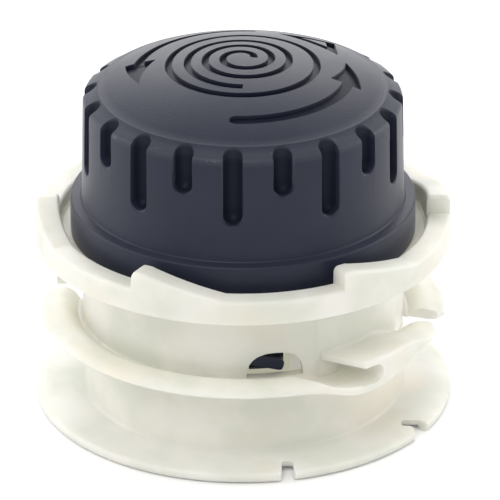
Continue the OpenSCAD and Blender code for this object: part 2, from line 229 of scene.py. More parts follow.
def apply_tool(piece: bpy.types.Object, shell: Shell, how: Cut) -> None:
    """Merges a shell into the piece or carves it out, and checks that the volume moved the right way.

    Args:
        piece: the closed piece that changes.
        shell: the closed tool.
        how: whether the tool adds or takes away.
    """
    tool = shell.object("tool")
    before = signed_volume(piece.data)
    change = piece.modifiers.new("cut", "BOOLEAN")
    change.solver = "MANIFOLD"
    change.operation = how.value
    change.object = tool
    bake_modifiers(piece)
    after = signed_volume(piece.data)
    if (after > before) != (how is Cut.MERGE):
        LOG.warning("%s: a tool changed nothing (%s)", piece.name, how.name)
    bpy.data.objects.remove(tool)


def finish_surface(piece: bpy.types.Object, crease: float) -> None:
    """Shades the piece smooth, apart from edges sharper than the crease angle in degrees."""
    piece.data.shade_smooth()
    piece.data.set_sharp_from_angle(angle=math.radians(crease))


def slab(x: tuple[float, float], y: tuple[float, float], z: tuple[float, float], edge: float) -> Shell:
    """A block with rounded upright edges: its outline is carried from the lower z to the upper."""
    corners = [[x[0], y[0]], [x[1], y[0]], [x[1], y[1]], [x[0], y[1]]]
    return upright(round_corners(np.array(corners), np.full(4, edge)), z)


def upright(outline: Array, z: tuple[float, float]) -> Shell:
    """A plan outline carried straight up between two heights."""
    grid = np.stack([np.column_stack([outline, np.full(len(outline), h)]) for h in z], axis=1)
    return Shell.of(grid, wrap_v=False)


# ------------------------------------------------------------------ node groups and finishes


class NodeSketch:
    """Adds nodes to a tree and links them by socket names."""

    def __init__(self, tree: bpy.types.NodeTree) -> None:
        """Starts on an emptied tree."""
        self.tree = tree
        tree.nodes.clear()

    def add(self, kind: str, links: dict | None = None, **settings: object) -> bpy.types.Node:
        """Adds a node.

        Args:
            kind: the node's type name.
            links: input name or number to a value, or to an output socket that feeds it.
            settings: the node's own properties.

        Returns:
            The new node.
        """
        node = self.tree.nodes.new(kind)
        for key, value in settings.items():
            setattr(node, key, value)
        for key, value in (links or {}).items():
            socket = node.inputs[key]
            if isinstance(value, bpy.types.NodeSocket):
                self.tree.links.new(value, socket)
            else:
                socket.default_value = value
        return node

    def math(self, operation: str, a: object, b: object = 0.0, clamp: bool = False) -> bpy.types.NodeSocket:
        """The output of a Math node."""
        return self.add("ShaderNodeMath", {0: a, 1: b}, operation=operation, use_clamp=clamp).outputs[0]

    def ramp(self, value: object, low: float, high: float) -> bpy.types.NodeSocket:
        """A smooth step of the value from 0 at low to 1 at high."""
        links = {"Value": value, "From Min": low, "From Max": high}
        return self.add("ShaderNodeMapRange", links, interpolation_type="SMOOTHSTEP").outputs["Result"]

    def noise(
        self, place: object, scale: float, detail: float = 2.0, rough: float = 0.5
    ) -> bpy.types.NodeSocket:
        """The value of a noise texture, with features of about one over the scale in metres."""
        links = {"Vector": place, "Scale": scale, "Detail": detail, "Roughness": rough}
        return self.add("ShaderNodeTexNoise", links).outputs["Fac"]

    def blend(self, factor: object, a: object, b: object) -> bpy.types.NodeSocket:
        """A mix of two colours."""
        node = self.add("ShaderNodeMix", data_type="RGBA")
        for key, value in ((0, factor), (6, a), (7, b)):
            if isinstance(value, bpy.types.NodeSocket):
                self.tree.links.new(value, node.inputs[key])
            else:
                node.inputs[key].default_value = (*value, 1.0) if key > 0 else value
        return node.outputs[2]


def new_group(
    name: str, inputs: dict[str, float], outputs: tuple[str, ...]
) -> tuple[NodeSketch, dict, bpy.types.Node]:
    """Starts a shader node group with a place input, named numbers in and named numbers out.

    Args:
        name: the group's name.
        inputs: input names and their defaults.
        outputs: output names.

    Returns:
        The sketch of its tree, its inputs by name, and its output node.
    """
    tree = bpy.data.node_groups.new(name, "ShaderNodeTree")
    tree.interface.new_socket("Place", in_out="INPUT", socket_type="NodeSocketVector")
    for key, value in inputs.items():
        tree.interface.new_socket(key, in_out="INPUT", socket_type="NodeSocketFloat").default_value = value
    for key in outputs:
        tree.interface.new_socket(key, in_out="OUTPUT", socket_type="NodeSocketFloat")
    sketch = NodeSketch(tree)
    inner, outer = sketch.add("NodeGroupInput"), sketch.add("NodeGroupOutput")
    return sketch, {s.name: s for s in inner.outputs if s.name}, outer


def moulded_grain() -> bpy.types.NodeTree:
    """A group that gives the height of moulded grain: fine noise, plus a slow swell of the surface."""
    sketch, given, out = new_group("moulded grain", {"Fineness": 2600.0, "Swell": 0.3}, ("Height",))
    fine = sketch.noise(given["Place"], given["Fineness"], 3.0)
    slow = sketch.noise(given["Place"], 90.0, 1.0)
    swell = sketch.math("MULTIPLY", slow, given["Swell"])
    sketch.tree.links.new(sketch.math("ADD", fine, swell), out.inputs["Height"])
    return sketch.tree


def handling_marks() -> bpy.types.NodeTree:
    """A group that gives masks of handling: broken scuffs, and slow clouds of shade."""
    sketch, given, out = new_group("handling marks", {"Amount": 0.5, "Clouds": 70.0}, ("Scuff", "Cloud"))
    stretch = {"Vector": given["Place"], "Scale": (1.0, 1.0, 3.0)}
    stretched = sketch.add("ShaderNodeMapping", stretch).outputs[0]
    coarse = sketch.noise(stretched, 260.0, 6.0, 0.7)
    level = sketch.math("SUBTRACT", 0.78, sketch.math("MULTIPLY", given["Amount"], 0.3))
    over = sketch.math("MULTIPLY", sketch.math("SUBTRACT", coarse, level), 9.0, True)
    cloud = sketch.noise(given["Place"], given["Clouds"], 3.0)
    sketch.tree.links.new(over, out.inputs["Scuff"])
    sketch.tree.links.new(sketch.ramp(cloud, 0.36, 0.66), out.inputs["Cloud"])
    return sketch.tree


@dataclass(frozen=True)
class Groups:
    """The node groups that both plastics share."""

    grain: bpy.types.NodeTree
    marks: bpy.types.NodeTree


@dataclass(frozen=True)
class NylonFinish:
    """Milky nylon: pale, slightly see-through, with clouds of green and straw.

    Inside the drum a little of the light that comes through the wall is added as a faint glow.
    """

    pale: Color = (0.80, 0.785, 0.72)
    green: Color = (0.70, 0.705, 0.63)
    straw: Color = (0.77, 0.715, 0.61)
    scuffed: Color = (0.86, 0.86, 0.82)
    roughness: float = 0.46
    scatter_weight: float = 0.35
    scatter_depth: float = 0.004
    through_light: float = 0.20
    wall_inside_r: float = 30.9

    def material(self, groups: Groups) -> bpy.types.Material:
        """The nylon's material, with its colours mixed by noise on Object coordinates.

        Args:
            groups: the shared node groups.

        Returns:
            The material.
        """
        made = bpy.data.materials.new("milky_nylon")
        made.use_nodes = True
        s = NodeSketch(made.node_tree)
        place = s.add("ShaderNodeTexCoord").outputs["Object"]
        marks = s.add("ShaderNodeGroup", node_tree=groups.marks)
        marks.inputs["Amount"].default_value = 0.35
        marks.inputs["Clouds"].default_value = 75.0
        grain = s.add("ShaderNodeGroup", node_tree=groups.grain)
        grain.inputs["Fineness"].default_value = 1500.0
        grain.inputs["Swell"].default_value = 1.2
        for group in (marks, grain):
            s.tree.links.new(place, group.inputs["Place"])
        straw_mask = s.ramp(s.noise(place, 48.0, 2.0), 0.52, 0.74)
        cloudy = s.blend(marks.outputs["Cloud"], self.pale, self.green)
        warm = s.blend(s.math("MULTIPLY", straw_mask, 0.7), cloudy, self.straw)
        colour = s.blend(s.math("MULTIPLY", marks.outputs["Scuff"], 0.6), warm, self.scuffed)
        rough = s.math("ADD", s.math("MULTIPLY", marks.outputs["Cloud"], 0.08), self.roughness - 0.04)
        relief = {"Height": grain.outputs["Height"], "Strength": 0.22, "Distance": 0.12 * MM}
        bump = s.add("ShaderNodeBump", relief)
        shader = s.add(
            "ShaderNodeBsdfPrincipled",
            {"Base Color": colour, "Roughness": rough, "Normal": bump.outputs[0], "IOR": 1.5},
        )
        flat = s.add("ShaderNodeVectorMath", {0: place, 1: (1.0, 1.0, 0.0)}, operation="MULTIPLY").outputs[0]
        radius = s.add("ShaderNodeVectorMath", {0: flat}, operation="LENGTH").outputs["Value"]
        inside = s.math("LESS_THAN", radius, self.wall_inside_r * MM)
        s.tree.links.new(colour, shader.inputs["Emission Color"])
        s.tree.links.new(s.math("MULTIPLY", inside, self.through_light), shader.inputs["Emission Strength"])
        shader.inputs["Subsurface Weight"].default_value = self.scatter_weight
        shader.inputs["Subsurface Radius"].default_value = (1.0, 0.95, 0.7)
        shader.inputs["Subsurface Scale"].default_value = self.scatter_depth
        s.add("ShaderNodeOutputMaterial", {"Surface": shader.outputs[0]})
        return made


@dataclass(frozen=True)
class CapFinish:
    """Dark slate plastic with a fine grain, worn a little along its shoulder, and painted shade on the floors
    of its flutes and marks.
    """

    slate: Color = (0.0135, 0.0165, 0.034)
    dusty: Color = (0.022, 0.0265, 0.049)
    # painted shade: the darker colour given to the floors of the flutes and the dome's marks
    sunk: Color = (0.006, 0.0075, 0.0150)
    worn: Color = (0.20, 0.21, 0.23)
    roughness: float = 0.44
    specular: float = 0.3
    edge_sheen: float = 0.30
    shoulder_z: float = 66.3
    shoulder_reach: float = 1.8
    shoulder_slope: float = 2.0
    wall_r: float = 32.3
    # how far the painted shade goes towards the sunk colour
    recess_shade_share: float = 0.6
    ball_z: float = 6.36
    ball_r: float = 67.94

    def recess_shade_mask(self, s: NodeSketch, place: bpy.types.NodeSocket, height: bpy.types.NodeSocket) -> object:
        """Where the surface lies inside the flutes or the dome's marks, from 0 to 1: the mask of their painted
        shade.

        On the wall and the shoulder it steps with the depth below the turned surface, on the dome with
        the depth below the ball.

        Args:
            s: the material's sketch.
            place: Object coordinates.
            height: their Z.

        Returns:
            The mask's socket.
        """
        flat = s.add("ShaderNodeVectorMath", {0: place, 1: (1.0, 1.0, 0.0)}, operation="MULTIPLY").outputs[0]
        radius = s.add("ShaderNodeVectorMath", {0: flat}, operation="LENGTH").outputs["Value"]
        centre = (0.0, 0.0, self.ball_z * MM)
        reach = s.add("ShaderNodeVectorMath", {0: place, 1: centre}, operation="DISTANCE").outputs["Value"]
        above = s.math("MAXIMUM", s.math("SUBTRACT", height, self.shoulder_z * MM), 0.0)
        limit = s.math("SUBTRACT", self.wall_r * MM, s.math("MULTIPLY", above, self.shoulder_slope))
        in_wall = s.ramp(s.math("SUBTRACT", limit, radius), 0.3 * MM, 1.6 * MM)
        low = s.math("LESS_THAN", height, (self.shoulder_z + 1.4) * MM)
        in_dome = s.math("SUBTRACT", 1.0, s.ramp(reach, (self.ball_r - 0.85) * MM, (self.ball_r - 0.3) * MM))
        high = s.math("GREATER_THAN", height, (self.shoulder_z + 2.2) * MM)
        return s.math("MAXIMUM", s.math("MULTIPLY", in_wall, low), s.math("MULTIPLY", in_dome, high))

    def material(self, groups: Groups) -> bpy.types.Material:
        """The cap's material, with scuffs where the height is near the shoulder's, and painted shade in the
        flutes and marks.

        Args:
            groups: the shared node groups.

        Returns:
            The material.
        """
        made = bpy.data.materials.new("dark_slate_plastic")
        made.use_nodes = True
        s = NodeSketch(made.node_tree)
        place = s.add("ShaderNodeTexCoord").outputs["Object"]
        marks = s.add("ShaderNodeGroup", node_tree=groups.marks)
        marks.inputs["Amount"].default_value = 0.55
        marks.inputs["Clouds"].default_value = 55.0
        grain = s.add("ShaderNodeGroup", node_tree=groups.grain)
        grain.inputs["Fineness"].default_value = 2800.0
        grain.inputs["Swell"].default_value = 0.25
        for group in (marks, grain):
            s.tree.links.new(place, group.inputs["Place"])
        height = s.add("ShaderNodeSeparateXYZ", {"Vector": place}).outputs["Z"]
        off = s.math("ABSOLUTE", s.math("SUBTRACT", height, self.shoulder_z * MM))
        near = s.math("SUBTRACT", 1.0, s.ramp(off, 0.2 * MM, self.shoulder_reach * MM))
        rubbed = s.math("ADD", s.math("MULTIPLY", marks.outputs["Scuff"], 0.5), 0.12)
        wear = s.math("MULTIPLY", near, rubbed)
        dusty = s.blend(s.math("MULTIPLY", marks.outputs["Cloud"], 0.45), self.slate, self.dusty)
        # painted shade: the floors of the flutes and marks are darkened, and their specular and sheen are
        # turned down
        sunk = s.math("MULTIPLY", self.recess_shade_mask(s, place, height), self.recess_shade_share)
        colour = s.blend(sunk, s.blend(wear, dusty, self.worn), self.sunk)
        rough = s.math("ADD", s.math("MULTIPLY", marks.outputs["Cloud"], 0.06), self.roughness)
        relief = {"Height": grain.outputs["Height"], "Strength": 0.35, "Distance": 0.1 * MM}
        bump = s.add("ShaderNodeBump", relief)
        shader = s.add(
            "ShaderNodeBsdfPrincipled",
            {"Base Color": colour, "Roughness": rough, "Normal": bump.outputs[0], "IOR": 1.5},
        )
        open_part = s.math("SUBTRACT", 1.0, sunk)
        s.tree.links.new(s.math("MULTIPLY", open_part, self.specular), shader.inputs["Specular IOR Level"])
        s.tree.links.new(s.math("MULTIPLY", open_part, self.edge_sheen), shader.inputs["Sheen Weight"])
        shader.inputs["Sheen Roughness"].default_value = 0.35
        s.add("ShaderNodeOutputMaterial", {"Surface": shader.outputs[0]})
        return made


# ------------------------------------------------------------------ the spool


@dataclass
class LineChannel:
    """The dip, the open trough and the roofed pocket that the middle flange has twice.

    Its section is the same all along the direction direction_phi. The offset s is measured across that
    direction, so on the radius r the offset s lies at the angle arccos(-s / r) - lag.
    """

    direction_phi: float = 65.0
    lowest_s: float = -19.8
    reach_left: float = 11.5
    reach_right: float = 17.5
    depth: float = 2.96
    floor_s: tuple[float, ...] = (-29.0, -28.0, -26.0, -24.4, -22.9, -20.0, -17.8, -15.8)
    floor_z: tuple[float, ...] = (21.35, 20.35, 18.8, 18.2, 17.7, 17.05, 16.87, 17.2)
    roof_s: float = -20.0
    roof_top: float = 22.3
    roof_under: float = 21.0
    end_s: float = -15.5
    solid_until: float = -9.0
    gone_at: float = 5.0

    @property
    def lag(self) -> float:
        """The angle between the front and the line on which s is least."""
        return 90.0 - self.direction_phi

    def phi(self, s: Array, r: Array) -> Array:
        """The angle at which the radius r crosses the offset s: arccos(-s / r) - lag, in degrees."""
        return np.degrees(np.arccos(np.clip(-s / r, -1, 1))) - self.lag

    def offset(self, phi: Array, r: Array) -> Array:
        """The offset of the angle phi on the radius r: -r cos(phi + lag)."""
        return -r * np.cos(np.radians(phi + self.lag))

    def underside(self, s: Array, level: float) -> Array:
        """The flange's underside: level less depth times cos^2 of a quarter turn across each flank."""
        t = (s - self.lowest_s) / np.where(s < self.lowest_s, self.reach_left, self.reach_right)
        return level - self.depth * np.cos(np.pi / 2 * np.clip(t, -1, 1)) ** 2

    def floor(self, s: Array) -> Array:
        """The trough's floor, by straight runs between its stated heights."""
        return np.interp(s, self.floor_s, self.floor_z, left=99.0)

    def top(self, s: Array, plain: Array, drop: Array) -> Array:
        """The flange's upper side across the channel.

        Left of the roof it is the lower of the plain flange and the trough's floor. From the roof's free
        edge on it stands at the roof's height, less the rounding at the rim, and then sinks smoothly
        back to the plain flange.

        Args:
            s: offsets.
            plain: the plain flange's upper side at the same points.
            drop: how much the rim's rounding takes off there.

        Returns:
            The heights.
        """
        rise = np.sqrt(np.clip(1 - (1 - np.clip((s - self.roof_s) / 0.5, 0, 1)) ** 2, 0, 1))
        high = self.roof_top - 0.5 * (1 - rise) - drop
        back = smooth(s, self.solid_until, self.gone_at)
        raised = high + (plain - high) * back
        return np.where(s < self.roof_s, np.minimum(plain, self.floor(s) - 0.4 * drop), raised)


@dataclass
class Spool:
    """The light moulding: hollow drum, three flanges, toothed rim, centre tube, ribs and lugs."""

    hub_r: float = 33.0
    hub_in: float = 30.6
    flange_r: float = 43.0
    flange_t: float = 2.0
    relief: float = 0.9
    bead_w: float = 2.0
    edge_r: float = 0.95
    mid_r: float = 41.5
    mid_z: float = 18.2
    rim_z: float = 35.0
    plate_t: float = 2.0
    rim_in: float = 37.5
    rim_r: float = 42.4
    rim_top: float = 40.1
    crest: float = 43.9
    tooth_phi: float = 28.5
    tooth_pitch: float = 60.0
    tooth_flat: float = 3.5
    tooth_span: float = 26.5
    rim_round: float = 0.9
    bore_r: float = 8.0
    tube_r: float = 10.2
    tube_end: float = 5.0
    window_phi: float = 11.3
    window_half: float = 5.8
    window_base: float = 18.5
    window_high: float = 5.5
    leg_phi: float = 8.9
    pad: float = 0.25
    channel: LineChannel = field(default_factory=LineChannel)

    def columns(self) -> tuple[Array, Array]:
        """The grid's columns, as their angles on the drum and whether each runs along the channel.

        Returns:
            Angles on the drum for half a turn, and the offset s of each column, which is nan for those
            between two channels.
        """
        ch = self.channel
        first, last = ch.phi(np.array([-31.6, 8.0]), self.hub_r)
        edges = ch.phi(ch.roof_s + np.array([-0.02, 0.02, 0.1, 0.2, 0.35, 0.55]), self.hub_r)
        inside = np.sort(np.concatenate([np.arange(first, last, 0.42), edges, [last]]))
        between = np.linspace(last, first + 180, 150)[1:-1]
        s = np.concatenate([ch.offset(inside, self.hub_r), np.full(len(between), np.nan)])
        return np.concatenate([inside, between]), s

    def column_phi(self, base: Array, s: Array, r: float) -> Array:
        """The angle of every column on the radius r.

        Columns in the channel keep their offset s. The others lie between the two channels' outer
        columns in the same proportion as on the drum.

        Args:
            base: the columns' angles on the drum.
            s: their offsets, nan between the channels.
            r: the radius.

        Returns:
            The angles, in degrees.
        """
        inside = ~np.isnan(s)
        kept = self.channel.phi(s[inside], max(r, self.hub_r))
        start, end = base[inside][-1], base[inside][0] + 180
        share = (base[~inside] - start) / (end - start)
        between = kept[-1] + share * (kept[0] + 180 - kept[-1])
        return np.concatenate([kept, between])

    def plain_top(self, r: Array) -> Array:
        """Upper side of the middle flange away from the channels: a slope, then a rounded bevel."""
        out = np.minimum(r, self.mid_r) - self.mid_r + 3.6
        bevel = self.mid_z - 2.3 + np.sqrt(np.clip(4.6**2 - out**2, 0, None))
        slope = self.mid_z + 3.0 - 0.16 * (r - self.hub_r)
        return np.minimum(slope, bevel)

    def drum(self) -> Shell:
        """Drum and both line flanges: one section carried round, with the channel's heights in its rows.

        Every row is a radius, a height and an angle for each column, so the section changes along the
        channel while the rest is a plain turned shape.
        """
        base, s = self.columns()
        ch, f = self.channel, 0.8
        in_channel = ~np.isnan(s)
        sv = np.where(in_channel, s, 99.0)
        under = np.where(in_channel, ch.underside(sv, self.mid_z), self.mid_z)

        def top_at(r: float) -> Array:
            """Upper side of the middle flange on the radius r, for every column."""
            plain = np.full(len(base), float(self.plain_top(np.array(r))))
            drop = np.full(len(base), 0.9 - math.sqrt(max(0.81 - max(0.0, r - self.mid_r + 0.9) ** 2, 0.0)))
            return np.where(in_channel, ch.top(sv, plain, drop), plain)

        lower = stack(
            [[self.hub_in, self.rim_z + 0.6], [self.hub_in, 30], [self.hub_in, 17], [self.hub_in, 0.4]],
            [[self.hub_in + 0.3, 0], [self.hub_r - 0.1, 0], [self.hub_r + self.relief, self.relief]],
            [[self.flange_r - self.bead_w - 0.5, self.relief], [self.flange_r - self.bead_w, 0.05]],
            [[self.flange_r - self.bead_w + 0.2, 0], [self.flange_r - self.edge_r, 0]],
            arc(self.flange_r - self.edge_r, self.edge_r, self.edge_r, -75, 0, 5),
            arc(self.flange_r - 0.85, self.flange_t - 0.85, 0.85, 0, 90, 5),
            [[39, self.flange_t + 0.03], [36, self.flange_t + 0.07]],
            arc(self.hub_r + f, self.flange_t + 0.1 + f, f, 270, 180, 4),
        )
        upper = stack(
            arc(self.hub_r + f, self.rim_z - f, f, 180, 110, 3),
            [[self.hub_r + 1.2, self.rim_z + 0.6]],
        )
        rows = [(r, np.full(len(base), z), base) for r, z in lower]
        rows += [(self.hub_r, 0.5 * (2.9 + under - 0.5), base), (self.hub_r, under - 0.5, base)]
        rows += [(self.hub_r + 0.15, under - 0.15, base)]
        for r in (self.hub_r + 0.5, 35, 37, 39, 40.3, self.mid_r - 0.3):
            rows.append((r, under, self.column_phi(base, s, r)))
        edge = self.column_phi(base, s, self.mid_r)
        rim_top = top_at(self.mid_r)
        rows.append((self.mid_r, under + 0.3, edge))
        rows.append((self.mid_r, 0.5 * (under + 0.3 + rim_top), edge))
        rows.append((self.mid_r, rim_top, edge))
        for r in (41.4, 41.2, 40.95, 40.6, 40.2, 39.7, 39.0, 38.2, 37.2, 36.0, 34.8):
            rows.append((r, top_at(r), self.column_phi(base, s, r)))
        foot = top_at(self.hub_r + f)
        for r, z in arc(self.hub_r + f, f, f, 270, 180, 5):
            rows.append((r, foot + z, self.column_phi(base, s, r)))
        wall = self.hub_r + self.pad * (smooth(base, 25.2, 27.4) - smooth(base, 74.0, 78.0))
        for share in (0.12, 0.5, 0.9):
            rows.append((wall, foot + f + share * (self.rim_z - f - foot - f), base))
        rows += [(r, np.full(len(base), z), base) for r, z in upper]
        half = np.stack([around(r, phi, z) for r, z, phi in rows], axis=1)
        return Shell.of(np.concatenate([half, turned(half, 180)], axis=0))

    def tooth_height(self, phi: Array) -> Array:
        """Height of the rim's top: each tooth rises upright, is flat for a little, then ramps down.

        The crest's leading corner is a quarter circle of 0.9 mm, and the ramp is the straight line from
        the crest to the rim.
        """
        ahead = np.mod(phi - self.tooth_phi, self.tooth_pitch)
        along = ahead * math.pi / 180 * 0.5 * (self.rim_in + self.rim_r)
        corner = 0.9 - np.sqrt(np.clip(0.81 - (0.9 - np.clip(along, 0, 0.9)) ** 2, 0, None))
        ramp = np.clip((ahead - self.tooth_flat) / (self.tooth_span - self.tooth_flat), 0, 1)
        eased = ramp + 0.012 * np.sin(np.pi * np.clip(ramp * 8, 0, 1))
        tall = self.crest - corner - (self.crest - self.rim_top) * eased
        return np.where(ahead < 45, np.maximum(tall, self.rim_top), self.rim_top)

    def toothed_rim(self) -> Shell:
        """Rim, plate and centre tube: one section carried round, with the teeth's height in its top rows."""
        near = np.array([0.02, 0.12, 0.28, 0.5, 0.8, 1.15, 1.6, 2.4, 3.2, 3.6, 4.2])
        ramp = np.arange(5.2, 26.0, 1.1)
        flat = np.concatenate([[26.2, 26.6, 27.4], np.arange(28.6, 58.8, 1.25), [59.5, 59.85, 59.98]])
        sector = np.concatenate([near, ramp, flat])
        phi = (self.tooth_phi + sector[None, :] + self.tooth_pitch * np.arange(6)[:, None]).ravel()
        h, e, plate = self.tooth_height(phi), self.rim_round, self.rim_z + self.plate_t
        level = np.ones(len(phi))
        under = stack(
            [[self.tube_r, 20.0], [self.tube_r, self.rim_z - 0.4], [self.tube_r + 0.4, self.rim_z]],
            [[25.0, self.rim_z], [36.0, self.rim_z]],
            arc(self.rim_r - 0.4, self.rim_z + 0.4, 0.4, -90, 0, 3),
        )
        inward = stack(
            [[self.rim_in, plate + 0.5], [self.rim_in - 0.5, plate], [20.0, plate]],
            [[self.bore_r + 0.3, plate], [self.bore_r, plate - 0.3], [self.bore_r, self.tube_end + 0.3]],
            [[self.bore_r + 0.3, self.tube_end], [self.tube_r - 0.3, self.tube_end]],
            [[self.tube_r, self.tube_end + 0.3]],
        )
        rows = [(r, z * level) for r, z in under]
        rows.append((self.rim_r, 0.5 * (self.rim_z + h)))
        rows += [(r, h - e + z) for r, z in arc(self.rim_r - e, 0, e, 0, 90, 6)]
        rows.append((0.5 * (self.rim_in + self.rim_r), h))
        rows += [(r, h - e + z) for r, z in arc(self.rim_in + e, 0, e, 90, 180, 6)]
        rows += [(r, z * level) for r, z in inward]
        return Shell.of(np.stack([around(r, phi, z) for r, z in rows], axis=1))

    def ribs_and_lugs(self) -> Shell:
        """Six ribs from the tube to the drum, each with a drive lug below it at the drum's wall."""
        rib = slab((-0.8, 0.8), (-self.hub_in - 1, -self.tube_r + 1), (22.0, self.rim_z + 0.5), 0.2)
        lug = slab((-3.0, 3.0), (-self.hub_in - 0.9, -self.hub_in + 2.3), (0.02, 4.6), 0.4)
        both = rib.merged_with([lug])
        return both.turned(30).merged_with([both.turned(30 + 60 * k) for k in range(1, 6)])

    def pocket(self) -> Shell:
        """The space under a channel's roof: a section in s and z, carried along the radius."""
        ch = self.channel
        s = np.linspace(ch.roof_s - 0.6, ch.end_s - 2.0, 7)
        mid = 0.5 * (ch.roof_under + float(ch.floor(np.array(-17.5))))
        r_end = ch.roof_under - mid
        section = stack(
            np.column_stack([s, ch.floor(s) + 0.012]),
            arc(ch.end_s - r_end, mid, r_end, -80, 80, 8),
            [[ch.end_s - r_end, ch.roof_under], [ch.roof_s - 0.6, ch.roof_under - 0.05]],
        )
        radii = np.array([self.hub_r + 0.06, 35, 37, 39, 41, 43.5])
        grid = around(radii[:, None], ch.phi(section[None, :, 0], radii[:, None]), section[None, :, 1])
        return pair(Shell.of(grid, wrap_u=False))

    def window(self) -> Shell:
        """The opening in the drum's wall: a superellipse arch, carried from inside the wall to its face."""
        t = np.radians(np.arange(0, 181, 9))
        x = self.window_half * np.sign(np.cos(t)) * np.abs(np.cos(t)) ** 0.8
        z = self.window_base + self.window_high * np.sin(t) ** 0.8
        sill = np.column_stack([np.linspace(-5.0, 5.0, 9), np.full(9, self.window_base)])
        outline = stack(np.column_stack([x, z]), sill)
        centre = np.array([0.0, self.window_base + 0.4 * self.window_high])
        rows = []
        shares = np.array([0, 0.25, 0.5, 0.75, 1])
        for share, r in [(k, 29.0) for k in shares] + [(k, self.hub_r + 0.06) for k in shares[::-1]]:
            p = centre + share * (outline - centre)
            rows.append(around(r, np.degrees(np.arcsin(p[:, 0] / r)), p[:, 1]))
        return pair(Shell.of(np.stack(rows, axis=1), wrap_v=False).turned(self.window_phi))

    def line_notches(self) -> Shell:
        """Four round-ended notches through the lowest flange, two that run to -Y and +X, and their pairs."""
        first = [[7.7, -37.0], [10.1, -37.0], [10.1, -41.0], [11.8, -42.6]]
        first += [[11.8, -45], [6.6, -45], [6.6, -43.2], [7.7, -41.6]]
        first = round_corners(np.array(first), np.array([0.9, 0.9, 0.8, 0.6, 0, 0, 0.3, 0.5]))
        second = [[32.2, -19.35], [36.0, -19.35], [37.4, -20.6], [40, -20.6], [40, -26.2]]
        second += [[34.7, -26.2], [34.9, -23.4], [34.3, -22.0], [32.2, -21.9]]
        second = round_corners(np.array(second), np.array([0.9, 0.5, 0.6, 0, 0, 0, 1.0, 0.7, 0.9]))
        both = upright(first, (-1.0, 3.2)).merged_with([upright(second, (-1.0, 3.2))])
        return pair(both)

    def wedge_slots(self) -> Shell:
        """The slots in the middle flange, wide at the drum, narrow at the neck and flared at the mouth."""
        outline = [[31.0, -4.1], [33.0, -4.1], [38.2, -5.8], [39.8, -5.7], [40.9, -4.2], [43.5, -3.2]]
        outline += [[43.5, -14.0], [39.3, -13.6], [38.6, -10.9], [38.1, -10.6], [33.0, -11.6], [31.0, -11.6]]
        radii = np.array([0, 0, 0.9, 0.6, 0.5, 0, 0, 0.4, 0.4, 0.5, 0, 0])
        plan = round_corners(np.array(outline, float), radii)
        plan[:, 0] = np.maximum(plan[:, 0], np.sqrt((self.hub_r + 0.03) ** 2 - plan[:, 1] ** 2))
        return pair(upright(plan, (self.mid_z - 1.5, self.mid_z + 5.0)))

    def leg_slots(self) -> Shell:
        """Openings in the plate for the cap's snap legs."""
        inward = (-self.hub_in + 0.05, -self.hub_in + 3.3)
        slot = slab((-4.0, 4.0), inward, (self.rim_z - 1, self.rim_z + 3), 0.3)
        return pair(slot.turned(self.leg_phi))

    def build(self) -> bpy.types.Object:
        """Joins the two turned shells, adds what stands inside, and carves the openings."""
        piece = self.drum().object("spool_moulding")
        for shell, how in (
            (self.toothed_rim(), Cut.MERGE),
            (self.ribs_and_lugs(), Cut.MERGE),
            (self.pocket(), Cut.CARVE),
            (self.window(), Cut.CARVE),
            (self.line_notches(), Cut.CARVE),
            (self.wedge_slots(), Cut.CARVE),
            (self.leg_slots(), Cut.CARVE),
        ):
            apply_tool(piece, shell, how)
        finish_surface(piece, 38)
        return piece


# ------------------------------------------------------------------ the cap


